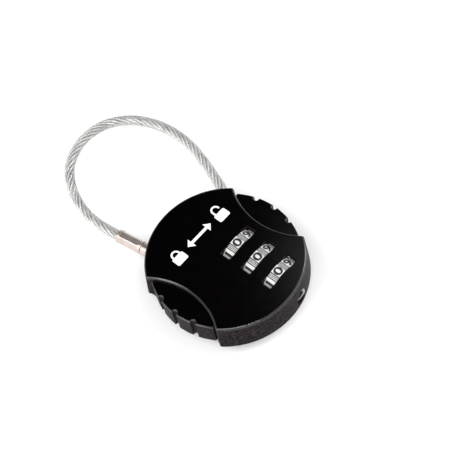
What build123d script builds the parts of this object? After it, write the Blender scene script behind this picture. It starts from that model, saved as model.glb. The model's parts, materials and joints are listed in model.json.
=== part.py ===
"""Combination cable padlock: a round case with three dials and a captive loop of steel cable.

Frame: origin at the middle of the back face, +Z out of the front face, +Y towards the cable.
The lock lies on its back. Lengths are millimetres and angles are degrees.
"""

from build123d import *

import os
from math import atan, cos, degrees, radians, sin, tan

# Case
face_radius = 22.5
widest_radius = 23.1
case_thickness = 15.0
skirt_z = 6.0  # lower edge of the front housing, where the case is widest
face_wall = 1.5
cavity_radius = 21.0
corner_radius = 0.8
rim_radius = 0.65
back_rim_radius = 0.5

# Grip recesses, cut by a circle on each side
grip_centre_x = 36.0
grip_arc_radius = 21.8
grip_wall = 1.0
grip_radius = 21.3
grip_top_z = 13.8
grip_gap = 0.15
flute_radius = 0.8
flute_centre_radius = 21.1
flute_angles = (-16.5, 0.0, 16.5)
seam_angle = 33.5
seam_radius = 0.5
lip_radius = 0.3

# Back cover, bevelled inwards so that it hides under the housing
back_radius = 18.8
back_top_radius = 22.4
back_grip_radius = 16.6  # under the grips
back_wall = 1.4
back_floor = 1.2

# Dials
dial_x = 5.7
axis_z = 8.7
dial_pitch = 7.4
dial_ys = [0.0, -dial_pitch, -2 * dial_pitch]
dial_width = 3.0
dial_flat = 6.8  # from the axis to each of the ten flats
dial_corner = 6.95
digits = 10
digit_phase = 3.0  # the dials rest a little short of square
window_length = 11.4
window_width = 3.3
index_width = 0.4
index_height = 0.12
valley_width = 1.7
valley_depth = 0.45
rib_width = 0.22

# Clutch sleeves, which carry the code
sleeve_radius = 3.4
tube_radius = 2.9
sleeve_bore = 2.3
key_radius = 4.0
key_width = 1.0
running_gap = 0.05
sleeve_back = 1.45  # from the dial's middle to the sleeve's near end
web_start = -0.1
web_end = 0.9
key_start = 0.25
key_end = 1.35

# Spindle
spindle_radius = 1.25
spindle_start_y = -18.0
spindle_end_y = 16.4
spindle_travel = 2.5
lug_width = 1.2
lug_radius = 2.15
lug_start = 1.15
lug_thickness = 0.8
collar_radius = 1.9
collar_thickness = 0.6
groove_y = 11.15
groove_width = 1.1
groove_radius = 0.7
slot_width = 0.5
slot_depth = 0.6
saddle_ys = ((6.6, 7.4), (12.9, 13.7))

# Detent spring, riveted to the floor beside the dials
leaf_x = (10.0, 11.4)
leaf_y = (-13.5, 1.2)
leaf_thickness = 0.25
detent_x = (4.6, 10.2)
finger_half_width = 0.7
detent_radius = 0.2
rivet_radius = 0.5
rivet_head_radius = 0.9
rivet_head = 0.35
rivet_foot_z = 0.6
rivet_spots = [(10.7, -dial_pitch / 2), (10.7, -1.5 * dial_pitch)]

# Reset button
button_radius = 2.1
button_bore = 1.4
button_start_y = -21.7
button_shoulder_y = -19.0
button_cup_depth = 1.9
rib_near = 1.75  # ribs beside the dials
rib_far = 2.6
rib_half_width = 4.0
wall_foot_z = 3.2  # foot of what stands on the bevelled wall

# Latch
pivot = (-3.0, 9.9)
pivot_pin_radius = 0.9
pivot_pin_z = (3.0, 12.5)
pivot_boss_radius = 1.9
latch_elbow = (-4.4, 15.6)
latch_thickness = 1.6
latch_width = 1.7
nose_radius = 0.6
finger_radius = 0.5
latch_spring_y = 14.3

# Lock pin, on an axis that leans away from the dials
pin_mouth = (-9.55, 20.6)
pin_lean = 8.5
pin_radius = 1.5
pin_groove_radius = 0.9
pin_groove = (-5.6, -4.0)
pin_flank_end = -9.9
pin_tip = -11.2
pin_collar_radius = 1.95
pin_collar = (-2.2, 2.6)
pin_tail_radius = 1.25
nose_depth = -5.0
bushing = (-3.5, -1.2)
bushing_radius = 2.38
bushing_step = -2.3
hole_gap = 0.06

# Crimped ferrule
ferrule = (2.75, 11.2)
ferrule_radius = 2.0
ferrule_step = 6.2
crimp = (3.9, 10.3)
crimp_flat = 1.82

# Cable
cable_radius = 1.5
core_radius = 1.25
jacket_bore = 1.3
cable_start = 7.6
anchor_mouth = (16.9, 15.3)
anchor_lean = 40.0
anchor_bend = 1.6  # outside the wall, where the cable turns towards its anchor
cable_depth = 5.4
anchor_radius = 2.0
anchor = (-6.4, -2.95)
clip = (-2.9, -2.1)
anchor_boss = (-2.05, -0.9)
cable_hole_radius = 1.6
loop_points = [
    (-12.15, 40.0),
    (-11.3, 46.4),
    (-8.9, 52.6),
    (-4.6, 58.8),
    (1.6, 62.6),
    (8.6, 63.6),
    (15.2, 61.6),
    (20.4, 56.9),
    (23.7, 50.2),
    (24.9, 42.9),
    (24.3, 35.4),
    (22.35, 28.4),
    (20.0, 21.9),
]

# Press pins that join the two halves of the case
cover_pin_radius = 0.75
cover_pin_boss = 1.5
cover_pin_spots = [(-11.8, -12.0), (-3.5, -16.5), (1.6, 17.2), (9.3, 14.6)]
cover_pin_z = (2.4, 10.0)

housing_height = case_thickness - skirt_z
back_bevel = degrees(atan((back_top_radius - back_radius) / skirt_z))
ceiling_z = case_thickness - face_wall
pin_out = (-sin(radians(pin_lean)), cos(radians(pin_lean)), 0)
anchor_out = (sin(radians(anchor_lean)), cos(radians(anchor_lean)), 0)
grip_spots = ((grip_centre_x, 0), (-grip_centre_x, 0))
window_spots = [(dial_x, y) for y in dial_ys]


def across(y):
    """A plane square to the dial axis, with its normal along +Y and its own y upwards."""
    return Plane(origin=(dial_x, y, axis_z), x_dir=(-1, 0, 0), z_dir=(0, 1, 0))


def pin_plane(distance):
    """A plane square to the lock pin, at a distance out of its hole. Its y is downwards."""
    x, y = pin_mouth
    origin = (x + distance * pin_out[0], y + distance * pin_out[1], axis_z)
    return Plane(origin=origin, x_dir=(pin_out[1], -pin_out[0], 0), z_dir=pin_out)


def anchor_plane(distance):
    """A plane square to the cable's fixed end, at a distance out of its hole. Its y is downwards."""
    x, y = anchor_mouth
    origin = (x + distance * anchor_out[0], y + distance * anchor_out[1], axis_z)
    return Plane(origin=origin, x_dir=(anchor_out[1], -anchor_out[0], 0), z_dir=anchor_out)


def disc(plane, radius, length, mode=Mode.ADD):
    """A round length of the part being built, from a plane along its normal."""
    with BuildSketch(plane) as outline:
        Circle(radius)
    extrude(outline.sketch, amount=length, mode=mode)


def block(low, high, mode=Mode.ADD):
    """A box between two corners of the part being built."""
    size = [b - a for a, b in zip(low, high)]
    middle = [(a + b) / 2 for a, b in zip(low, high)]
    with Locations(tuple(middle)):
        Box(*size, mode=mode)


def finish(builder, name):
    """Label a finished piece and write it."""
    builder.part.label = name
    export_step(builder.part, f"parts/{name}.step")
    print(name, round(builder.part.volume, 2))


def coil_spring(start, direction, length, radius, wire_radius, turns):
    """A coil spring along a direction, with its end coils inside its length."""
    height = length - 2 * wire_radius
    origin = Vector(*start) + Vector(*direction) * wire_radius
    with BuildPart() as spring:
        with BuildLine() as path:
            Helix(height / turns, height, radius, center=origin, direction=direction)
        with BuildSketch(Plane(origin=path.line @ 0, z_dir=path.line % 0)):
            Circle(wire_radius)
        sweep(path=path.line, is_frenet=True)
    return spring


os.makedirs("parts", exist_ok=True)

# Front housing: the face, the side wall and everything that hangs from them
with BuildPart() as front_housing:
    with BuildSketch(Plane.XY.offset(skirt_z)):
        Circle(widest_radius)
    extrude(amount=housing_height, taper=degrees(atan((widest_radius - face_radius) / housing_height)))
    with BuildSketch(Plane.XY.offset(skirt_z)):
        with Locations(*grip_spots):
            Circle(grip_arc_radius)
    extrude(amount=housing_height, mode=Mode.SUBTRACT)
    corners = [e for e in front_housing.edges() if e.bounding_box().size.Z > housing_height / 2]
    fillet(corners, corner_radius)
    fillet(front_housing.faces().sort_by(Axis.Z)[-1].edges(), rim_radius)
    with BuildSketch(Plane.XY.offset(skirt_z)):
        Circle(cavity_radius)
        with Locations(*grip_spots):
            Circle(grip_arc_radius + grip_wall, mode=Mode.SUBTRACT)
    extrude(amount=ceiling_z - skirt_z, mode=Mode.SUBTRACT)
    # Blocks behind the two cable holes, and bosses for the pins
    with BuildSketch(pin_plane(bushing[0])):
        Rectangle(6.6, 2 * (axis_z - skirt_z))
    extrude(amount=2.0)
    with BuildSketch(anchor_plane(anchor_boss[0])):
        with Locations((-0.65, 0)):
            Rectangle(5.1, 2 * (axis_z - skirt_z))
    extrude(amount=anchor_boss[1] - anchor_boss[0])
    with BuildSketch(Plane.XY.offset(skirt_z)):
        with Locations(*cover_pin_spots):
            Circle(cover_pin_boss)
    extrude(amount=ceiling_z - skirt_z)
    with BuildSketch(Plane.XY.offset(axis_z + latch_thickness / 2 + 0.1)):
        with Locations(pivot):
            Circle(pivot_boss_radius)
    extrude(until=Until.NEXT)
    # Raised index lines beside the windows
    with BuildSketch(Plane.XY.offset(case_thickness)):
        with Locations((dial_x, 3.3), (dial_x, dial_ys[2] - 2.8)):
            Rectangle(index_width, 1.2)
        with Locations((dial_x, dial_ys[1] + dial_pitch / 2), (dial_x, dial_ys[2] + dial_pitch / 2)):
            Rectangle(index_width, 2.2)
    extrude(amount=index_height)
    # Windows
    with BuildSketch(Plane.XY.offset(case_thickness)):
        with Locations(*window_spots):
            RectangleRounded(window_length, window_width, 0.3)
    extrude(amount=-face_wall, mode=Mode.SUBTRACT)
    # Holes for the lock pin, the cable, the reset button and the press pins
    disc(pin_plane(bushing[0]), bushing_radius, bushing[1] - bushing[0], mode=Mode.SUBTRACT)
    disc(pin_plane(bushing[1]), pin_collar_radius + 0.1, 4.0, mode=Mode.SUBTRACT)
    disc(anchor_plane(anchor_boss[0] - 1.0), cable_hole_radius, 5.0, mode=Mode.SUBTRACT)
    disc(across(-24.0), button_radius + 0.1, 6.0, mode=Mode.SUBTRACT)
    with BuildSketch(Plane.XY.offset(skirt_z)):
        with Locations(*cover_pin_spots):
            Circle(cover_pin_radius)
    extrude(amount=cover_pin_z[1] - skirt_z, mode=Mode.SUBTRACT)
    with BuildSketch(Plane.XY.offset(skirt_z)):
        with Locations(pivot):
            Circle(pivot_pin_radius)
    extrude(amount=pivot_pin_z[1] - skirt_z, mode=Mode.SUBTRACT)
finish(front_housing, "front_housing")

# Fluted grips, one in each recess, with a narrow seam at each end
grip_cuts = [(angle, flute_centre_radius, flute_radius) for angle in flute_angles]
grip_cuts += [(angle, grip_radius, seam_radius) for angle in (-seam_angle, seam_angle)]
for name, side in (("left_grip", -1), ("right_grip", 1)):
    with BuildPart() as grip:
        with BuildSketch(Plane.XY.offset(skirt_z)):
            Circle(grip_radius)
            with Locations((side * grip_centre_x, 0)):
                Circle(grip_arc_radius - grip_gap, mode=Mode.INTERSECT)
            for angle, distance, radius in grip_cuts:
                turn = radians(angle)
                with Locations((side * distance * cos(turn), distance * sin(turn))):
                    Circle(radius, mode=Mode.SUBTRACT)
        extrude(amount=grip_top_z - skirt_z)
        rim = [e for e in grip.edges() if e.bounding_box().min.Z > grip_top_z - 0.01]
        fillet([e for e in rim if abs(e.center().X) > grip_centre_x - grip_arc_radius + 1.0], lip_radius)
    finish(grip, name)

# Back cover: a bevelled pan with the saddles, posts and pockets that hold the mechanism
with BuildPart() as back_cover:
    with BuildSketch(Plane.XY):
        Circle(back_radius)
    extrude(amount=skirt_z, taper=-back_bevel)
    with BuildSketch(Plane.XY):
        with Locations(*grip_spots):
            Circle(grip_arc_radius)
    extrude(amount=skirt_z, mode=Mode.SUBTRACT)
    with BuildSketch(Plane.XY):
        Circle(back_grip_radius)
    extrude(amount=skirt_z, taper=-back_bevel)
    fillet(back_cover.faces().sort_by(Axis.Z)[0].edges(), back_rim_radius)
    with BuildSketch(Plane.XY.offset(back_floor)):
        Circle(back_radius - back_wall + back_floor * tan(radians(back_bevel)))
    extrude(amount=skirt_z - back_floor, taper=-back_bevel, mode=Mode.SUBTRACT)
    # Under the grips it is solid
    with BuildSketch(Plane.XY.offset(back_floor - 0.1)):
        with Locations(*grip_spots):
            Circle(grip_arc_radius + back_wall)
        Circle(back_grip_radius, mode=Mode.INTERSECT)
    extrude(amount=skirt_z - back_floor + 0.1)
    # Saddles under the sleeves, the button and the spindle
    for y in dial_ys:
        foot = wall_foot_z if y == dial_ys[-1] else back_floor - 0.1
        low = (dial_x - rib_half_width, y - rib_far, foot)
        block(low, (dial_x + rib_half_width, y - rib_near, axis_z))
    for y0, y1 in saddle_ys:
        block((dial_x - 2.2, y0, back_floor - 0.1), (dial_x + 2.2, y1, axis_z))
    # Post for the latch spring, boss for the latch pivot and bosses for the press pins
    block((2.3, 13.0, back_floor - 0.1), (3.3, 15.6, axis_z + 1.5))
    with BuildSketch(Plane.XY.offset(back_floor - 0.1)):
        with Locations(pivot):
            Circle(pivot_boss_radius)
    extrude(amount=axis_z - latch_thickness / 2 - 0.1 - back_floor + 0.1)
    with BuildSketch(Plane.XY.offset(back_floor - 0.1)):
        with Locations(*cover_pin_spots):
            Circle(cover_pin_boss)
    extrude(amount=skirt_z - back_floor + 0.1)
    # Pocket for the anchor
    with BuildSketch(anchor_plane(anchor[0])):
        with Locations((-0.8, (axis_z - wall_foot_z) / 2)):
            Rectangle(3.6, axis_z - wall_foot_z)
    extrude(amount=anchor[1] - anchor[0])
    disc(anchor_plane(anchor[0] - 1.0), anchor_radius + running_gap, 6.0, mode=Mode.SUBTRACT)
    disc(across(dial_ys[2] - 4.0), tube_radius + running_gap, 18.0, mode=Mode.SUBTRACT)
    disc(across(saddle_ys[0][0] - 1.0), spindle_radius + running_gap, 9.0, mode=Mode.SUBTRACT)
    with BuildSketch(Plane.XY.offset(cover_pin_z[0])):
        with Locations(*cover_pin_spots):
            Circle(cover_pin_radius)
    extrude(amount=skirt_z, mode=Mode.SUBTRACT)
    with BuildSketch(Plane.XY.offset(pivot_pin_z[0])):
        with Locations(pivot):
            Circle(pivot_pin_radius)
    extrude(amount=skirt_z, mode=Mode.SUBTRACT)
    with BuildSketch(Plane.XY.offset(0.5)):
        with Locations(*rivet_spots):
            Circle(rivet_radius)
    extrude(amount=1.5, mode=Mode.SUBTRACT)
finish(back_cover, "back_cover")

# Press pins
with BuildPart() as cover_pins:
    with BuildSketch(Plane.XY.offset(cover_pin_z[0])):
        with Locations(*cover_pin_spots):
            Circle(cover_pin_radius)
    extrude(amount=cover_pin_z[1] - cover_pin_z[0])
finish(cover_pins, "cover_pins")

# Dial wheels: ten flats with ribbed valleys between them, and ten slots for the clutch keys
valley_angle = 90 - digit_phase + 180 / digits
for number, y in enumerate(dial_ys, start=1):
    with BuildPart() as dial:
        with BuildSketch(across(y - dial_width / 2)):
            RegularPolygon(dial_flat, digits, major_radius=False, rotation=valley_angle)
            Circle(dial_corner, mode=Mode.INTERSECT)
            with PolarLocations(dial_corner, digits, start_angle=valley_angle):
                Rectangle(2 * valley_depth, valley_width, mode=Mode.SUBTRACT)
            for rib in (-1, 0, 1):
                spread = valley_angle + rib * degrees(2 * rib_width / dial_corner)
                with PolarLocations(dial_corner - valley_depth, digits, start_angle=spread):
                    Rectangle(0.5, rib_width)
            Circle(sleeve_radius + running_gap, mode=Mode.SUBTRACT)
        extrude(amount=dial_width)
        with BuildSketch(across(y + key_start - running_gap)):
            Circle(sleeve_radius + 2 * running_gap)
            with PolarLocations(key_radius - 1.0, digits):
                Rectangle(2 * (1.0 + 2 * running_gap), key_width + 2 * running_gap)
        extrude(amount=dial_width, mode=Mode.SUBTRACT)
    finish(dial, f"dial_wheel_{number}")

# Clutch sleeves: a web with one gate for the spindle's lug, and two keys that turn with the dial
for number, y in enumerate(dial_ys, start=1):
    far_end = 3.2 if number == 1 else dial_pitch - sleeve_back - running_gap
    with BuildPart() as sleeve:
        disc(across(y - sleeve_back), sleeve_radius, sleeve_back + key_end)
        disc(across(y + key_end), tube_radius, far_end - key_end)
        with BuildSketch(across(y + key_start)):
            Rectangle(2 * key_radius, key_width)
        extrude(amount=key_end - key_start)
        disc(across(y - sleeve_back), sleeve_bore, sleeve_back + web_start, mode=Mode.SUBTRACT)
        disc(across(y + web_end), sleeve_bore, far_end - web_end, mode=Mode.SUBTRACT)
        disc(across(y + web_start), spindle_radius + running_gap, web_end - web_start, mode=Mode.SUBTRACT)
        with BuildSketch(across(y + web_start)):
            with Locations((0, sleeve_bore / 2)):
                Rectangle(lug_width + 0.2, sleeve_bore)
        extrude(amount=web_end - web_start, mode=Mode.SUBTRACT)
    finish(sleeve, f"clutch_sleeve_{number}")

# Locking spindle: three lugs, and a groove between two collars for the latch's finger
with BuildPart() as spindle:
    disc(across(spindle_start_y), spindle_radius, spindle_end_y - spindle_start_y)
    for y in dial_ys:
        with BuildSketch(across(y + lug_start)):
            with Locations((0, lug_radius / 2)):
                Rectangle(lug_width, lug_radius)
        extrude(amount=lug_thickness)
    disc(
        across(groove_y - groove_width / 2 - collar_thickness),
        collar_radius,
        groove_width + 2 * collar_thickness,
    )
    with BuildSketch(across(groove_y - groove_width / 2)):
        Circle(collar_radius + 0.1)
        Circle(groove_radius, mode=Mode.SUBTRACT)
    extrude(amount=groove_width, mode=Mode.SUBTRACT)
    # Screwdriver slot in its near end
    slot_low = (dial_x - slot_width / 2, spindle_start_y, axis_z - spindle_radius)
    slot_high = (dial_x + slot_width / 2, spindle_start_y + slot_depth, axis_z + spindle_radius)
    block(slot_low, slot_high, mode=Mode.SUBTRACT)
finish(spindle, "locking_spindle")

# Reset button: a steel tube round the spindle's end, which pushes the three sleeves along
with BuildPart() as button:
    end_y = dial_ys[2] - sleeve_back - running_gap
    disc(across(button_start_y), button_radius, end_y - button_start_y)
    disc(across(button_shoulder_y), tube_radius, end_y - button_shoulder_y)
    disc(across(button_start_y), button_bore, end_y - button_start_y, mode=Mode.SUBTRACT)
    disc(across(end_y - button_cup_depth), sleeve_bore, button_cup_depth, mode=Mode.SUBTRACT)
    outer = button.faces().sort_by(Axis.Y)[0].edges()
    chamfer(outer, 0.2)
finish(button, "reset_button")

# Latch: a lever whose nose holds the lock pin and whose finger moves the spindle
swing = 2 * degrees(atan(spindle_travel / 2 / (dial_x - 1.4 - pivot[0])))
with BuildPart() as latch:
    nose = pin_plane(nose_depth).from_local_coords((pin_groove_radius + 0.06 + nose_radius, 0, 0))
    finger_x = dial_x - groove_radius - finger_radius - 0.2
    with BuildSketch(Plane.XY.offset(axis_z - latch_thickness / 2)):
        with BuildLine():
            Polyline(pivot, latch_elbow)
        trace(line_width=latch_width)
        with BuildLine():
            Polyline(latch_elbow, (nose.X, nose.Y))
        trace(line_width=2 * nose_radius)
        with BuildLine():
            Polyline(pivot, (finger_x, groove_y))
        trace(line_width=2 * finger_radius - 0.2)
        with Locations(pivot):
            Circle(1.7)
        with Locations(latch_elbow):
            Circle(latch_width / 2)
        with Locations((nose.X, nose.Y)):
            Circle(nose_radius)
        with Locations((finger_x, groove_y)):
            Circle(finger_radius)
        with Locations(pivot):
            Circle(pivot_pin_radius + running_gap, mode=Mode.SUBTRACT)
    extrude(amount=latch_thickness)
finish(latch, "latch_lever")

with BuildPart() as pivot_pin:
    with BuildSketch(Plane.XY.offset(pivot_pin_z[0])):
        with Locations(pivot):
            Circle(pivot_pin_radius)
    extrude(amount=pivot_pin_z[1] - pivot_pin_z[0])
finish(pivot_pin, "latch_pivot_pin")

# Springs
latch_spring = coil_spring(
    start=(2.25, latch_spring_y, axis_z),
    direction=(-1, 0, 0),
    length=5.35,
    radius=1.0,
    wire_radius=0.15,
    turns=6,
)
finish(latch_spring, "latch_spring")
reset_spring = coil_spring(
    start=(dial_x, 3.25, axis_z),
    direction=(0, 1, 0),
    length=3.3,
    radius=1.85,
    wire_radius=0.2,
    turns=4,
)
finish(reset_spring, "reset_spring")

# Detent spring: a leaf on the floor with one raised finger under each dial
with BuildPart() as detent_spring:
    leaf_z = back_floor + 0.05
    leaf_top_z = leaf_z + leaf_thickness
    block((leaf_x[0], leaf_y[0], leaf_z), (leaf_x[1], leaf_y[1], leaf_top_z))
    for y in dial_ys:
        tip = max(y, leaf_y[0] + finger_half_width)
        low = (detent_x[0], tip - finger_half_width, leaf_z)
        block(low, (detent_x[1], tip + finger_half_width, leaf_top_z))
        with Locations((dial_x, tip, leaf_z + 0.17)):
            Cylinder(detent_radius, 2 * finger_half_width, rotation=(90, 0, 0))
    with Locations(*[(x, y, leaf_z) for x, y in rivet_spots]):
        Hole(rivet_radius, depth=2.0)
finish(detent_spring, "detent_spring")

with BuildPart() as detent_rivets:
    with BuildSketch(Plane.XY.offset(rivet_foot_z)):
        with Locations(*rivet_spots):
            Circle(rivet_radius)
    extrude(amount=leaf_top_z - rivet_foot_z)
    with BuildSketch(Plane.XY.offset(leaf_top_z)):
        with Locations(*rivet_spots):
            Circle(rivet_head_radius)
    extrude(amount=rivet_head)
finish(detent_rivets, "detent_rivets")

# Steel bushing that guides the lock pin
with BuildPart() as pin_bushing:
    disc(pin_plane(bushing[0]), bushing_radius, bushing[1] - bushing[0])
    disc(pin_plane(bushing[0]), pin_radius + hole_gap, bushing[1] - bushing[0], mode=Mode.SUBTRACT)
    disc(pin_plane(bushing_step), pin_collar_radius + hole_gap, 2.0, mode=Mode.SUBTRACT)
finish(pin_bushing, "pin_bushing")

# Lock pin: turned in one piece, with a groove and a long flank that lifts the latch
with BuildPart() as lock_pin:
    with BuildSketch(Plane(origin=pin_plane(0).origin, x_dir=pin_plane(0).x_dir, z_dir=(0, 0, 1))):
        with BuildLine():
            Polyline(
                (0, pin_tip),
                (pin_radius - 0.6, pin_tip),
                (pin_radius, pin_tip + 0.5),
                (pin_radius, pin_flank_end),
                (pin_groove_radius, pin_groove[0]),
                (pin_groove_radius, pin_groove[1]),
                (pin_radius, pin_groove[1]),
                (pin_radius, pin_collar[0]),
                (pin_collar_radius, pin_collar[0]),
                (pin_collar_radius, pin_collar[1]),
                (pin_tail_radius, pin_collar[1]),
                (pin_tail_radius, ferrule_step - 0.2),
                (0, ferrule_step - 0.2),
                close=True,
            )
        make_face()
    revolve(axis=Axis((pin_mouth[0], pin_mouth[1], axis_z), pin_out))
finish(lock_pin, "lock_pin")

# Ferrule: a round sleeve crimped to a hexagon over most of its length
with BuildPart() as ferrule_sleeve:
    disc(pin_plane(ferrule[0]), ferrule_radius, ferrule[1] - ferrule[0])
    ends = ferrule_sleeve.edges().filter_by(GeomType.CIRCLE)
    fillet(ends, 0.25)
    with BuildSketch(pin_plane(crimp[0])):
        Circle(ferrule_radius + 0.2)
        RegularPolygon(crimp_flat, 6, major_radius=False, mode=Mode.SUBTRACT)
    extrude(amount=crimp[1] - crimp[0], mode=Mode.SUBTRACT)
    disc(pin_plane(ferrule[0]), pin_tail_radius, 9.0, mode=Mode.SUBTRACT)
    disc(pin_plane(ferrule_step), cable_radius + 0.04, 9.0, mode=Mode.SUBTRACT)
finish(ferrule_sleeve, "ferrule")

# Cable: a wire core and its clear jacket, along one route
start = pin_plane(cable_start).origin
bend = pin_plane(cable_start + 5.9).origin
turn_in = anchor_plane(anchor_bend).origin
cable_end = anchor_plane(-cable_depth).origin
route = [start, bend]
route += [Vector(x, y, axis_z) for x, y in loop_points]
route += [turn_in, cable_end]
radii = []
for before, here, after in zip(route, route[1:], route[2:]):
    half_turn = radians((here - before).get_angle(after - here)) / 2
    radii.append(0.45 * min((here - before).length, (after - here).length) / tan(half_turn))
print("cable arc radii", [round(r, 1) for r in radii])
with BuildLine() as cable_path:
    FilletPolyline(*route, radius=radii)
cable_length = cable_path.wires()[0].length
print("cable length", round(cable_length, 1))

with BuildPart() as cable_core:
    with BuildSketch(Plane(origin=start, z_dir=bend - start)):
        Circle(core_radius)
    sweep(path=cable_path.wires()[0])
finish(cable_core, "cable_core")

with BuildPart() as cable_jacket:
    with BuildSketch(Plane(origin=start, z_dir=bend - start)):
        Circle(cable_radius)
        Circle(jacket_bore, mode=Mode.SUBTRACT)
    sweep(path=cable_path.wires()[0])
finish(cable_jacket, "cable_jacket")

# Stop sleeve swaged on the cable's fixed end, and the fork that holds it
with BuildPart() as anchor_sleeve:
    disc(anchor_plane(anchor[0]), anchor_radius, anchor[1] - anchor[0])
    disc(anchor_plane(-cable_depth - 0.05), cable_radius + 0.02, 5.0, mode=Mode.SUBTRACT)
finish(anchor_sleeve, "anchor_sleeve")

with BuildPart() as anchor_clip:
    with BuildSketch(anchor_plane(clip[0])):
        with Locations((-0.9, 0)):
            Rectangle(4.2, 5.2)
        Circle(cable_radius + 0.05, mode=Mode.SUBTRACT)
        with Locations((1.5, 0)):
            Rectangle(3.0, 2 * cable_radius + 0.1, mode=Mode.SUBTRACT)
    extrude(amount=clip[1] - clip[0])
finish(anchor_clip, "anchor_clip")

print("latch swing", round(swing, 2))
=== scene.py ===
import json
import math

import bmesh
import bpy
from mathutils import Matrix, Vector


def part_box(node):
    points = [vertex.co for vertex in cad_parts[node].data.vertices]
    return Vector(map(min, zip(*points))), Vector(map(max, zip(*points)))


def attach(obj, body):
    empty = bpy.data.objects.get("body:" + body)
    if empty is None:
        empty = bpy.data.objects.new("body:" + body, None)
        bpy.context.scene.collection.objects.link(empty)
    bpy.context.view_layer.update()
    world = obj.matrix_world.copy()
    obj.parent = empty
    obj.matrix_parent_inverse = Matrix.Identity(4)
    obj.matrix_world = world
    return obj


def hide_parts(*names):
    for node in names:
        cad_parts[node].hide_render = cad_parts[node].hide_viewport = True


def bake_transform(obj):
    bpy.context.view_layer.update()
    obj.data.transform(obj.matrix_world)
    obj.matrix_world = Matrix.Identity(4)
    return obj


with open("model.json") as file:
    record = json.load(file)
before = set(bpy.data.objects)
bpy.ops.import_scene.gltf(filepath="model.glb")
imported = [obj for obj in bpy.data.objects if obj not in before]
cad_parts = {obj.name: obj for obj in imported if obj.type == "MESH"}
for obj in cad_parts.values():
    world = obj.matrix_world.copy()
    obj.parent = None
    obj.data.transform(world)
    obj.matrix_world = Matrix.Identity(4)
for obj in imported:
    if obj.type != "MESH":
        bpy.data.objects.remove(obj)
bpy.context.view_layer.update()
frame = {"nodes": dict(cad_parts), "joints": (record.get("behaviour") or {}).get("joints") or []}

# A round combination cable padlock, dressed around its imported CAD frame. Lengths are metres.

MM = 0.001


# Places and sizes, from the frame

def middle(node):
    """The middle of a node's box at rest."""
    low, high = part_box(node)
    return (Vector(low) + Vector(high)) / 2


def around(azimuth, elevation, distance):
    """A place seen from the origin in a direction, in degrees, at a distance."""
    turn = math.radians(azimuth)
    rise = math.radians(elevation)
    level = math.cos(rise) * distance
    return Vector((level * math.cos(turn), level * math.sin(turn), math.sin(rise) * distance))


DIALS = ("dial_wheel_1", "dial_wheel_2", "dial_wheel_3")
dial_centres = [middle(name) for name in DIALS]
axis_z = dial_centres[0].z
pull = next(joint for joint in frame["joints"] if joint["name"] == "ferrule_pull")
pin_out = Vector(pull["axis"]).normalized()

# As in the CAD: the face's height, and how far a dial's ten flats lie from its axis
FACE_Z = 15.0 * MM
FLAT_RADIUS = 6.8 * MM


# Camera at the photograph's angle, with angles in degrees and the lens in millimetres

CAMERA_AZIMUTH = -127.78
CAMERA_ELEVATION = 58.73
CAMERA_ROLL = -12.89
CAMERA_DISTANCE = 389.6 * MM
CAMERA_AIM = Vector((7.43, 5.31, 14.98)) * MM
CAMERA_LENS = 110.5
CAMERA_SENSOR = 36.0
camera_back = around(CAMERA_AZIMUTH, CAMERA_ELEVATION, 1)


def add_camera():
    """The camera looks at a point on the face from the lower left."""
    data = bpy.data.cameras.new("camera")
    camera = bpy.data.objects.new("camera", data)
    bpy.context.scene.collection.objects.link(camera)
    aim = (-camera_back).to_track_quat("-Z", "Y").to_matrix().to_4x4()
    roll = Matrix.Rotation(math.radians(CAMERA_ROLL), 4, "Z")
    place = Matrix.Translation(CAMERA_AIM + camera_back * CAMERA_DISTANCE)
    camera.matrix_world = place @ aim @ roll
    data.lens = CAMERA_LENS
    data.sensor_width = CAMERA_SENSOR
    data.clip_start = 10 * MM
    bpy.context.scene.camera = camera


add_camera()


# Materials

def new_material(name):
    """A material, its node tree and its shader."""
    material = bpy.data.materials.new(name)
    material.use_nodes = True
    return material, material.node_tree, material.node_tree.nodes["Principled BSDF"]


def noise(tree, scale, detail=4.0, roughness=0.5):
    """A noise texture in the object's own coordinates; scale is in features per metre."""
    place = tree.nodes.new("ShaderNodeTexCoord")
    texture = tree.nodes.new("ShaderNodeTexNoise")
    texture.inputs["Scale"].default_value = scale
    texture.inputs["Detail"].default_value = detail
    texture.inputs["Roughness"].default_value = roughness
    tree.links.new(place.outputs["Object"], texture.inputs["Vector"])
    return texture.outputs["Fac"]


def spread(tree, value, low, high, start=0.3, end=0.7):
    """A value mapped from start..end to low..high."""
    ramp = tree.nodes.new("ShaderNodeMapRange")
    ramp.inputs["From Min"].default_value = start
    ramp.inputs["From Max"].default_value = end
    ramp.inputs["To Min"].default_value = low
    ramp.inputs["To Max"].default_value = high
    tree.links.new(value, ramp.inputs["Value"])
    return ramp.outputs["Result"]


def tint(tree, value, first, second, start=0.3, end=0.7):
    """A colour that goes from first to second as value goes from start to end."""
    ramp = tree.nodes.new("ShaderNodeValToRGB")
    ramp.color_ramp.elements[0].position = start
    ramp.color_ramp.elements[0].color = (*first, 1)
    ramp.color_ramp.elements[1].position = end
    ramp.color_ramp.elements[1].color = (*second, 1)
    tree.links.new(value, ramp.inputs["Fac"])
    return ramp.outputs["Color"]


def combine(tree, operation, first, second):
    """Two values joined by a maths operation."""
    node = tree.nodes.new("ShaderNodeMath")
    node.operation = operation
    tree.links.new(first, node.inputs[0])
    tree.links.new(second, node.inputs[1])
    return node.outputs["Value"]


def bump(tree, shader, height, distance):
    """Bump from a height, with distance in metres."""
    node = tree.nodes.new("ShaderNodeBump")
    node.inputs["Distance"].default_value = distance
    node.inputs["Strength"].default_value = 1.0
    tree.links.new(height, node.inputs["Height"])
    tree.links.new(node.outputs["Normal"], shader.inputs["Normal"])


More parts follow.
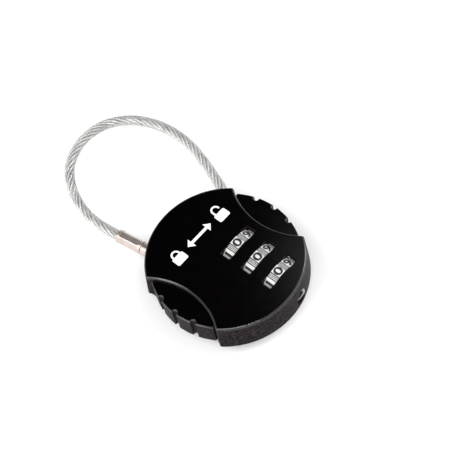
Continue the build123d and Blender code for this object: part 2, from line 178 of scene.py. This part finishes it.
def plastic(name, first, second, rough_low, rough_high, grain, grain_depth):
    """Moulded plastic with slight tone changes, handling haze and a fine grain."""
    material, tree, shader = new_material(name)
    cloud = noise(tree, 160.0)
    tree.links.new(tint(tree, cloud, first, second), shader.inputs["Base Color"])
    haze = noise(tree, 420.0, 6.0, 0.6)
    tree.links.new(spread(tree, haze, rough_low, rough_high), shader.inputs["Roughness"])
    bump(tree, shader, noise(tree, grain, 3.0), grain_depth)
    return material


def metal(name, first, second, rough_low, rough_high, depth=4e-6, metallic=1.0):
    """Bare or plated metal with fine tool marks."""
    material, tree, shader = new_material(name)
    shader.inputs["Metallic"].default_value = metallic
    marks = noise(tree, 1500.0, 5.0, 0.6)
    stain = noise(tree, 300.0, 5.0, 0.6)
    tree.links.new(tint(tree, stain, first, second), shader.inputs["Base Color"])
    tree.links.new(spread(tree, marks, rough_low, rough_high), shader.inputs["Roughness"])
    bump(tree, shader, marks, depth)
    return material


def paint(name, colour, rough):
    """Pad-printed ink with a little unevenness."""
    material, tree, shader = new_material(name)
    patch = noise(tree, 900.0)
    darker = tuple(part * 0.86 for part in colour)
    tree.links.new(tint(tree, patch, darker, colour), shader.inputs["Base Color"])
    tree.links.new(spread(tree, patch, rough * 0.8, rough * 1.2), shader.inputs["Roughness"])
    return material


def clear_vinyl():
    """Clear, slightly milky vinyl."""
    material, tree, shader = new_material("clear_vinyl")
    shader.inputs["Transmission Weight"].default_value = 1.0
    shader.inputs["IOR"].default_value = 1.3
    haze = noise(tree, 500.0)
    colour = tint(tree, haze, (0.9, 0.9, 0.89), (0.97, 0.97, 0.96))
    tree.links.new(colour, shader.inputs["Base Color"])
    tree.links.new(spread(tree, haze, 0.0, 0.03), shader.inputs["Roughness"])
    bump(tree, shader, noise(tree, 250.0), 4e-6)
    return material


DEEP_BLACK = (0.012, 0.012, 0.013)
wall_black = plastic("wall_black", DEEP_BLACK, (0.02, 0.02, 0.021), 0.35, 0.5, 5000, 8e-6)
steel = metal("steel", (0.34, 0.34, 0.34), (0.44, 0.44, 0.43), 0.25, 0.4)
brass = metal("brass", (0.42, 0.29, 0.12), (0.52, 0.39, 0.18), 0.25, 0.4)
nickel = metal("nickel_silver", (0.54, 0.46, 0.42), (0.68, 0.6, 0.56), 0.26, 0.38, 1e-6, 0.85)
wire = metal("wire", (0.56, 0.56, 0.555), (0.8, 0.8, 0.79), 0.24, 0.36, 5e-7, 0.5)
ink_black = paint("ink_black", DEEP_BLACK, 0.45)
ink_white = paint("ink_white", (0.86, 0.86, 0.85), 0.5)
vinyl = clear_vinyl()


# Black plastic with two finishes, which change over these depths below the top face

SHINE_START = 0.7 * MM
SHINE_FULL = 0.45 * MM
GLOSS_START = 0.5 * MM
GLOSS_FULL = 0.1 * MM
FLAT_START = 0.06 * MM
FLAT_FULL = 0.01 * MM
PIT_BLACK = (0.0009, 0.0006, 0.0008)
GRAIN_BLACK = (0.032, 0.0225, 0.028)
GRAIN_DEPTH = 0.06 * MM
WALL_ROUGHNESS = 0.42
FACE_ROUGHNESS = 0.12
WALL_SHINE = 0.03
EDGE_SHINE = 0.75
FACE_SHINE_LOSS = 0.4


def object_height(tree):
    """The height of each point of an object, in its own coordinates."""
    place = tree.nodes.new("ShaderNodeTexCoord")
    split = tree.nodes.new("ShaderNodeSeparateXYZ")
    tree.links.new(place.outputs["Object"], split.inputs["Vector"])
    return split.outputs["Z"]


def edge_shine(tree, height, top_z):
    """Little shine on the wall, most on the rounded edge and less again on the flat face."""
    edge = spread(tree, height, WALL_SHINE, EDGE_SHINE, top_z - SHINE_START, top_z - SHINE_FULL)
    flat = spread(tree, height, 0.0, FACE_SHINE_LOSS, top_z - FLAT_START, top_z - FLAT_FULL)
    return combine(tree, "SUBTRACT", edge, flat)


def lock_black(name, top_z):
    """Black plastic, glossy on its top face, bright on the rounded edge and grained on the wall."""
    material, tree, shader = new_material(name)
    height = object_height(tree)
    on_face = spread(tree, height, 0.0, 1.0, top_z - GLOSS_START, top_z - GLOSS_FULL)
    on_wall = spread(tree, on_face, 1.0, 0.1, 0, 1)
    mottle = combine(tree, "MULTIPLY", noise(tree, 1500.0, 5.0, 0.7), on_wall)
    colour = tint(tree, mottle, PIT_BLACK, GRAIN_BLACK, 0.42, 0.62)
    tree.links.new(colour, shader.inputs["Base Color"])
    haze = spread(tree, noise(tree, 420.0, 6.0, 0.6), -0.02, 0.03)
    gloss = spread(tree, on_face, WALL_ROUGHNESS, FACE_ROUGHNESS, 0, 1)
    tree.links.new(combine(tree, "ADD", gloss, haze), shader.inputs["Roughness"])
    shine = edge_shine(tree, height, top_z)
    tree.links.new(shine, shader.inputs["Specular IOR Level"])
    grain = combine(tree, "MULTIPLY", noise(tree, 2200.0, 3.0, 0.7), on_wall)
    bump(tree, shader, grain, GRAIN_DEPTH)
    return material


housing_black = lock_black("housing_black", FACE_Z)
grip_black = lock_black("grip_black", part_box("left_grip")[1].z)


# Silvered dials: painted shade and some dirt darken the valleys, fading out between these depths
# below the flats

SHADE_AND_DIRT_FULL = 0.16 * MM
SHADE_AND_DIRT_END = 0.01 * MM
SHADE_AND_DIRT_COLOUR = (0.02, 0.018, 0.017)
SILVER = (0.72, 0.71, 0.7)


def axis_distance(tree, centre):
    """How far each point of an object lies from a level axis along Y through a centre."""
    place = tree.nodes.new("ShaderNodeTexCoord")
    offset = tree.nodes.new("ShaderNodeVectorMath")
    offset.operation = "SUBTRACT"
    offset.inputs[1].default_value = centre
    tree.links.new(place.outputs["Object"], offset.inputs[0])
    across = tree.nodes.new("ShaderNodeVectorMath")
    across.operation = "MULTIPLY"
    across.inputs[1].default_value = (1, 0, 1)
    tree.links.new(offset.outputs["Vector"], across.inputs[0])
    out = tree.nodes.new("ShaderNodeVectorMath")
    out.operation = "LENGTH"
    tree.links.new(across.outputs["Vector"], out.inputs[0])
    return out.outputs["Value"]


def dial_silver(number, centre):
    """Silvered plastic, with painted shade and some dirt darkening the valleys between the flats.
    """
    material, tree, shader = new_material(f"dial_silver_{number}")
    distance = axis_distance(tree, centre)
    # Painted shade with some dirt: darkest at the valley bottoms and rib flanks, silver on the
    # flats.
    raised = spread(tree, distance, 0.0, 1.0, FLAT_RADIUS - SHADE_AND_DIRT_FULL, FLAT_RADIUS - SHADE_AND_DIRT_END)
    tree.links.new(tint(tree, raised, SHADE_AND_DIRT_COLOUR, SILVER, 0, 1), shader.inputs["Base Color"])
    shader.inputs["Metallic"].default_value = 0.15
    tree.links.new(spread(tree, noise(tree, 700.0, 5.0), 0.22, 0.38), shader.inputs["Roughness"])
    bump(tree, shader, noise(tree, 4000.0, 3.0), 4e-6)
    return material


FINISHES = {
    "front_housing": housing_black,
    "back_cover": wall_black,
    "left_grip": grip_black,
    "right_grip": grip_black,
    "clutch_sleeve_1": brass,
    "clutch_sleeve_2": brass,
    "clutch_sleeve_3": brass,
    "detent_rivets": brass,
    "lock_pin": nickel,
    "ferrule": nickel,
    "anchor_sleeve": nickel,
}
for number, name in enumerate(DIALS, start=1):
    FINISHES[name] = dial_silver(number, dial_centres[number - 1])


def finish_nodes():
    """Give every CAD node its material; what isn't listed is steel."""
    for name, node in frame["nodes"].items():
        finish = FINISHES.get(name, steel)
        if not node.material_slots:
            node.data.materials.append(finish)
        for slot in node.material_slots:
            slot.link = "OBJECT"
            slot.material = finish


finish_nodes()


# Helpers for pieces and their meshes

def new_piece(name, mesh, material):
    """A new piece in the scene."""
    piece = bpy.data.objects.new(name, mesh)
    bpy.context.scene.collection.objects.link(piece)
    mesh.materials.append(material)
    return piece


def add_rider(name, mesh, material, body):
    """A new piece that rides on a body."""
    piece = new_piece(name, mesh, material)
    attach(piece, body)


def evaluated_mesh(name, data):
    """The mesh that a text or a curve draws."""
    holder = bpy.data.objects.new(name, data)
    bpy.context.scene.collection.objects.link(holder)
    bpy.context.view_layer.update()
    graph = bpy.context.evaluated_depsgraph_get()
    mesh = bpy.data.meshes.new_from_object(holder.evaluated_get(graph))
    bpy.data.objects.remove(holder)
    return mesh


def flat_shape(mesh, outlines, height):
    """Add thin plates to a bmesh, one for each closed outline of 2-D points."""
    for outline in outlines:
        low = [mesh.verts.new((x, y, 0)) for x, y in outline]
        face = mesh.faces.new(low)
        raised = bmesh.ops.extrude_face_region(mesh, geom=[face])["geom"]
        tops = [v for v in raised if isinstance(v, bmesh.types.BMVert)]
        bmesh.ops.translate(mesh, vec=(0, 0, height), verts=tops)


def arc(centre, radius, start, end, steps=16):
    """Points on an arc, with angles in degrees."""
    points = []
    for step in range(steps + 1):
        turn = math.radians(start + (end - start) * step / steps)
        points.append((centre[0] + radius * math.cos(turn), centre[1] + radius * math.sin(turn)))
    return points


# Digits, printed on the ten flats of each dial

DIGIT_HEIGHT = 2.6 * MM
DIGIT_WIDTH = 2.5 * MM
DIGIT_WIDENING = 1.45
DIGIT_BOLDNESS = 0.025
DIGITS = 10
DIGIT_STEP = 360 / DIGITS
DIGIT_PHASE = 3  # degrees that each dial rests short of square
INK = 0.02 * MM


def digit_mesh(digit):
    """One digit as a thin plate, centred, with its top towards +Y."""
    text = bpy.data.curves.new("digit", "FONT")
    text.body = str(digit)
    text.extrude = 0.01
    text.offset = DIGIT_BOLDNESS
    mesh = evaluated_mesh("digit", text)
    xs = [v.co.x for v in mesh.vertices]
    ys = [v.co.y for v in mesh.vertices]
    middle_x = (min(xs) + max(xs)) / 2
    middle_y = (min(ys) + max(ys)) / 2
    scale_y = DIGIT_HEIGHT / (max(ys) - min(ys))
    scale_x = min(scale_y * DIGIT_WIDENING, DIGIT_WIDTH / (max(xs) - min(xs)))
    for v in mesh.vertices:
        side = 1 if v.co.z > 0 else -1
        v.co = ((v.co.x - middle_x) * scale_x, (v.co.y - middle_y) * scale_y, side * INK)
    return mesh


def add_digits():
    """Ten digits round each dial; 0 faces out at rest and 1 comes next on the left."""
    shapes = [digit_mesh(digit) for digit in range(DIGITS)]
    out_to_flat = Matrix.Translation((0, 0, FLAT_RADIUS))
    for number, centre in enumerate(dial_centres, start=1):
        mesh = bmesh.new()
        for digit, shape in enumerate(shapes):
            angle = math.radians(-DIGIT_STEP * digit - DIGIT_PHASE)
            place = Matrix.Translation(centre) @ Matrix.Rotation(angle, 4, "Y") @ out_to_flat
            known = len(mesh.verts)
            mesh.from_mesh(shape)
            mesh.verts.ensure_lookup_table()
            for v in mesh.verts[known:]:
                v.co = place @ v.co
        data = bpy.data.meshes.new(f"dial_{number}_digits")
        mesh.to_mesh(data)
        mesh.free()
        add_rider(f"dial_{number}_digits", data, ink_black, f"dial_{number}")


add_digits()


# Generic pictograms on the face: closed lock, double arrow, open lock

SIGN_MIDDLE_X = 0.8 * MM
SIGN_Y = 10.2 * MM
SIGN_SPACING = 8.8 * MM
SIGN_WIDTH = 4.0 * MM
OPEN_LIFT = 0.8 * MM
ARROW_LENGTH = 9.6 * MM
ARROW_HEIGHT = 3.2 * MM
PRINT_THICKNESS = 0.03 * MM
PRINT_GAP = 0.002 * MM


def lock_outlines(x, y, width, lift):
    """The body and the shackle of a small padlock sign."""
    half = width / 2
    tall = width * 0.72
    low = y - tall / 2 - width * 0.2
    high = low + tall
    corner = width * 0.12
    body = arc((x + half - corner, high - corner), corner, 0, 90, 4)
    body += arc((x - half + corner, high - corner), corner, 90, 180, 4)
    body += arc((x - half + corner, low + corner), corner, 180, 270, 4)
    body += arc((x + half - corner, low + corner), corner, 270, 360, 4)
    shackle_out = width * 0.36
    shackle_in = width * 0.22
    right = high + lift
    bend = (x, right + width * 0.08)
    outer = arc(bend, shackle_out, 0, 180)
    inner = arc(bend, shackle_in, 180, 0)
    right_foot = [(x + shackle_in, right), (x + shackle_out, right)]
    left_foot = [(x - shackle_out, high), (x - shackle_in, high)]
    return [body, right_foot + outer + left_foot + inner]


def arrow_outline(x, y, length, height):
    """A double-headed arrow."""
    half = length / 2
    head = height * 0.55
    wide = height / 2
    thin = height * 0.14
    return [
        (x - half, y), (x - half + head, y - wide), (x - half + head, y - thin),
        (x + half - head, y - thin), (x + half - head, y - wide), (x + half, y),
        (x + half - head, y + wide), (x + half - head, y + thin),
        (x - half + head, y + thin), (x - half + head, y + wide),
    ]


def add_face_print():
    """White signs across the upper part of the face."""
    mesh = bmesh.new()
    outlines = lock_outlines(SIGN_MIDDLE_X - SIGN_SPACING, SIGN_Y, SIGN_WIDTH, 0)
    outlines.append(arrow_outline(SIGN_MIDDLE_X, SIGN_Y, ARROW_LENGTH, ARROW_HEIGHT))
    outlines += lock_outlines(SIGN_MIDDLE_X + SIGN_SPACING, SIGN_Y, SIGN_WIDTH, OPEN_LIFT)
    flat_shape(mesh, outlines, PRINT_THICKNESS)
    bmesh.ops.translate(mesh, vec=(0, 0, FACE_Z + PRINT_GAP), verts=mesh.verts)
    bmesh.ops.recalc_face_normals(mesh, faces=mesh.faces)
    data = bpy.data.meshes.new("face_print")
    mesh.to_mesh(data)
    mesh.free()
    add_rider("face_print", data, ink_white, "case")


add_face_print()


# Cable: the same route points as the CAD cable, on one NURBS spline

PIN_MOUTH = Vector((-9.55, 20.6, 8.7)) * MM
FERRULE_START = 7.6 * MM
FERRULE_END = 13.5 * MM
ANCHOR_MOUTH = Vector((16.9, 15.3, 8.7)) * MM
ANCHOR_LEAN = math.radians(40)
ANCHOR_OUT = 1.6 * MM
ANCHOR_DEPTH = 5.4 * MM

# The loop's own points, in millimetres, level with the dials' axis
LOOP_POINTS = [
    (-12.15, 40.0),
    (-11.3, 46.4),
    (-8.9, 52.6),
    (-4.6, 58.8),
    (1.6, 62.6),
    (8.6, 63.6),
    (15.2, 61.6),
    (20.4, 56.9),
    (23.7, 50.2),
    (24.9, 42.9),
    (24.3, 35.4),
    (22.35, 28.4),
    (20.0, 21.9),
]

JACKET_RADIUS = 1.5 * MM
JACKET_STEP = 0.8 * MM
JACKET_POINTS = 32


def cable_route():
    """From inside the ferrule, round the loop and into the anchor."""
    anchor_out = Vector((math.sin(ANCHOR_LEAN), math.cos(ANCHOR_LEAN), 0))
    route = [PIN_MOUTH + pin_out * FERRULE_START, PIN_MOUTH + pin_out * FERRULE_END]
    route += [Vector((x * MM, y * MM, axis_z)) for x, y in LOOP_POINTS]
    route += [ANCHOR_MOUTH + anchor_out * ANCHOR_OUT, ANCHOR_MOUTH - anchor_out * ANCHOR_DEPTH]
    return route


def spline_points(route):
    """Points along the NURBS spline that has the route as its control points."""
    curve = bpy.data.curves.new("route", "CURVE")
    curve.dimensions = "3D"
    spline = curve.splines.new("NURBS")
    spline.points.add(len(route) - 1)
    for point, place in zip(spline.points, route):
        point.co = (*place, 1)
    spline.order_u = 3
    spline.use_endpoint_u = True
    spline.resolution_u = 40
    return [v.co.copy() for v in evaluated_mesh("route", curve).vertices]


def even_points(points, step):
    """The same line, with points an even step apart."""
    walked = [0.0]
    for a, b in zip(points, points[1:]):
        walked.append(walked[-1] + (b - a).length)
    count = round(walked[-1] / step)
    result = []
    leg = 0
    for number in range(count + 1):
        goal = walked[-1] * number / count
        while leg < len(points) - 2 and walked[leg + 1] < goal:
            leg += 1
        share = (goal - walked[leg]) / (walked[leg + 1] - walked[leg])
        result.append(points[leg].lerp(points[leg + 1], share))
    return result


def side_directions(points):
    """At each point, the level direction square to the line."""
    sides = []
    for number in range(len(points)):
        before = points[max(number - 1, 0)]
        after = points[min(number + 1, len(points) - 1)]
        sides.append(Vector((0, 0, 1)).cross((after - before).normalized()))
    return sides


def tube(mesh, rings):
    """Join rings of points into a tube with closed ends."""
    made = [[mesh.verts.new(p) for p in ring] for ring in rings]
    count = len(made[0])
    for a, b in zip(made, made[1:]):
        for n in range(count):
            mesh.faces.new((a[n], a[(n + 1) % count], b[(n + 1) % count], b[n]))
    mesh.faces.new(list(reversed(made[0])))
    mesh.faces.new(made[-1])


def ring_point(point, side, radius, turn):
    """A point on a circle that stands square to a level line."""
    return point + side * radius * math.cos(turn) + Vector((0, 0, radius * math.sin(turn)))


def round_rings(points, sides, radius, count):
    """Circles of points square to a level line."""
    turns = [2 * math.pi * n / count for n in range(count)]
    rings = []
    for point, side in zip(points, sides):
        rings.append([ring_point(point, side, radius, turn) for turn in turns])
    return rings


def smooth_mesh(name, mesh):
    """A mesh data block with smooth shading from a bmesh."""
    bmesh.ops.recalc_face_normals(mesh, faces=mesh.faces)
    data = bpy.data.meshes.new(name)
    mesh.to_mesh(data)
    mesh.free()
    data.shade_smooth()
    return data


def follow_the_pull(piece):
    """Bake the piece's place into its mesh, where it stays."""
    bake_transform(piece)


def add_piece_of_cord(name, mesh, material):
    """A piece of the cable, in its place at rest."""
    piece = new_piece(name, mesh, material)
    follow_the_pull(piece)
    return piece


# The rope: strands laid round each other, which show their own outer wires

STRANDS = 6
STRAND_RADIUS = 0.42 * MM
STRAND_ORBIT = 0.83 * MM
STRAND_PITCH = 14 * MM
STRAND_STEP = 0.35 * MM
WIRES = 6
WIRE_PITCH = 6 * MM
WIRE_DIP = 0.2
RING_POINTS = 8 * WIRES
MIDDLE_POINTS = 12


def wire_rings(points, sides, phase):
    """Rings of a strand that shows its outer wires, which are laid the other way round."""
    rings = []
    for step, (point, side) in enumerate(zip(points, sides)):
        lay = -2 * math.pi * step * STRAND_STEP / WIRE_PITCH
        ring = []
        for n in range(RING_POINTS):
            turn = 2 * math.pi * n / RING_POINTS
            dip = 1 - abs(math.cos(WIRES * (turn - lay + phase) / 2))
            ring.append(ring_point(point, side, STRAND_RADIUS * (1 - WIRE_DIP * dip), turn))
        rings.append(ring)
    return rings


def add_strands(line):
    """Strands laid round a straight middle."""
    points = even_points(line, STRAND_STEP)
    sides = side_directions(points)
    up = Vector((0, 0, 1))
    mesh = bmesh.new()
    for strand in range(STRANDS):
        middles = []
        for step, (point, side) in enumerate(zip(points, sides)):
            turn = 2 * math.pi * (strand / STRANDS + step * STRAND_STEP / STRAND_PITCH)
            middles.append(point + (side * math.cos(turn) + up * math.sin(turn)) * STRAND_ORBIT)
        tube(mesh, wire_rings(middles, sides, strand))
    tube(mesh, round_rings(points, sides, STRAND_ORBIT - STRAND_RADIUS, MIDDLE_POINTS))
    data = smooth_mesh("cable_strands", mesh)
    strands = add_piece_of_cord("cable_strands", data, wire)
    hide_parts("cable_core")
    return strands


def add_jacket(line, strands):
    """The clear jacket round the strands."""
    points = even_points(line, JACKET_STEP)
    mesh = bmesh.new()
    tube(mesh, round_rings(points, side_directions(points), JACKET_RADIUS, JACKET_POINTS))
    data = smooth_mesh("cable_sheath", mesh)
    jacket = add_piece_of_cord("cable_sheath", data, vinyl)
    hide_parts("cable_jacket")


cable_line = spline_points(cable_route())
add_jacket(cable_line, add_strands(cable_line))


# Springs, as coils in the CAD springs' places

STEPS_PER_TURN = 24
COIL_WIRE_POINTS = 8
X_AXIS = 0
Y_AXIS = 1


def coil_rings(start, end, radius, wire_radius, turns):
    """Rings of a coil of wire that fills the space from start to end."""
    along = (end - start).normalized()
    side = along.orthogonal().normalized()
    other = along.cross(side)
    climb = (end - start).length - 2 * wire_radius
    steps = STEPS_PER_TURN * turns
    rings = []
    for step in range(steps + 1):
        turn = 2 * math.pi * turns * step / steps
        out = side * math.cos(turn) + other * math.sin(turn)
        centre = start + along * (wire_radius + climb * step / steps) + out * radius
        ring = []
        for n in range(COIL_WIRE_POINTS):
            roll = 2 * math.pi * n / COIL_WIRE_POINTS
            ring.append(centre + (out * math.cos(roll) + along * math.sin(roll)) * wire_radius)
        rings.append(ring)
    return rings


def add_spring(node, axis, turns, wire_radius):
    """A coil in a CAD spring's place, which it hides."""
    low, high = (Vector(corner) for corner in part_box(node))
    start = (low + high) / 2
    end = start.copy()
    start[axis] = high[axis]
    end[axis] = low[axis]
    radius = (high.z - low.z) / 2 - wire_radius
    mesh = bmesh.new()
    tube(mesh, coil_rings(start, end, radius, wire_radius, turns))
    piece = new_piece(f"{node}_coil", smooth_mesh(f"{node}_coil", mesh), steel)
    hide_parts(node)
    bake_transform(piece)


add_spring("latch_spring", X_AXIS, 6, 0.15 * MM)
add_spring("reset_spring", Y_AXIS, 4, 0.2 * MM)


# Floor, lights and surroundings

FLOOR_SIZE = 2.0
FLOOR_GAP = 0.02 * MM


def add_floor():
    """A plain pale floor just under the lock."""
    mesh = bmesh.new()
    bmesh.ops.create_grid(mesh, x_segments=2, y_segments=2, size=FLOOR_SIZE)
    data = bpy.data.meshes.new("floor")
    mesh.to_mesh(data)
    mesh.free()
    material, tree, shader = new_material("floor")
    shader.inputs["Roughness"].default_value = 0.9
    shader.inputs["Specular IOR Level"].default_value = 0.2
    colour = tint(tree, noise(tree, 40.0), (0.92, 0.92, 0.92), (0.95, 0.95, 0.95))
    tree.links.new(colour, shader.inputs["Base Color"])
    data.materials.append(material)
    floor = bpy.data.objects.new("floor", data)
    floor.location.z = -FLOOR_GAP
    bpy.context.scene.collection.objects.link(floor)


LIGHT_AIM = Vector((0, 0, 10)) * MM
LIGHTS = {
    "key": {"azimuth": -20, "elevation": 48, "distance": 0.7, "width": 0.8, "power": 2.2},
    "fill": {"azimuth": -132, "elevation": 62, "distance": 0.7, "width": 0.35, "power": 1.5},
    "left_panel": {"azimuth": 165, "elevation": 58, "distance": 0.7, "width": 0.3, "power": 1.2},
    "lip_panel": {"azimuth": 180, "elevation": 26, "distance": 0.6, "width": 0.2, "power": 0.9},
    "rim_panel": {"azimuth": -22, "elevation": 30, "distance": 0.6, "width": 0.2, "power": 0.6},
}


def add_area(name, azimuth, elevation, distance, width, power):
    """A soft square light that points at the lock from a direction, in degrees."""
    data = bpy.data.lights.new(name, "AREA")
    data.size = width
    data.energy = power
    light = bpy.data.objects.new(name, data)
    bpy.context.scene.collection.objects.link(light)
    place = around(azimuth, elevation, distance)
    aim = (LIGHT_AIM - place).to_track_quat("-Z", "Y").to_matrix().to_4x4()
    light.matrix_world = Matrix.Translation(place) @ aim


def add_lights():
    """A large soft key, a fill, and small panels that draw the thin highlights on the edges."""
    for name, light in LIGHTS.items():
        add_area(name, **light)


WORLD_PALE = 0.85
WORLD_DARK = 0.004
DARK_START = 0.72
DARK_END = 0.9


def add_world():
    """Pale surroundings with a dark panel where the face reflects them to the camera."""
    world = bpy.data.worlds.new("world")
    world.use_nodes = True
    tree = world.node_tree
    place = tree.nodes.new("ShaderNodeTexCoord")
    toward = tree.nodes.new("ShaderNodeVectorMath")
    toward.operation = "DOT_PRODUCT"
    toward.inputs[1].default_value = (-camera_back.x, -camera_back.y, camera_back.z)
    tree.links.new(place.outputs["Generated"], toward.inputs[0])
    level = spread(tree, toward.outputs["Value"], WORLD_PALE, WORLD_DARK, DARK_START, DARK_END)
    tree.nodes["Background"].inputs["Color"].default_value = (1, 1, 1, 1)
    tree.links.new(level, tree.nodes["Background"].inputs["Strength"])
    bpy.context.scene.world = world


add_floor()
add_lights()
add_world()
bpy.context.scene.view_settings.view_transform = "Standard"
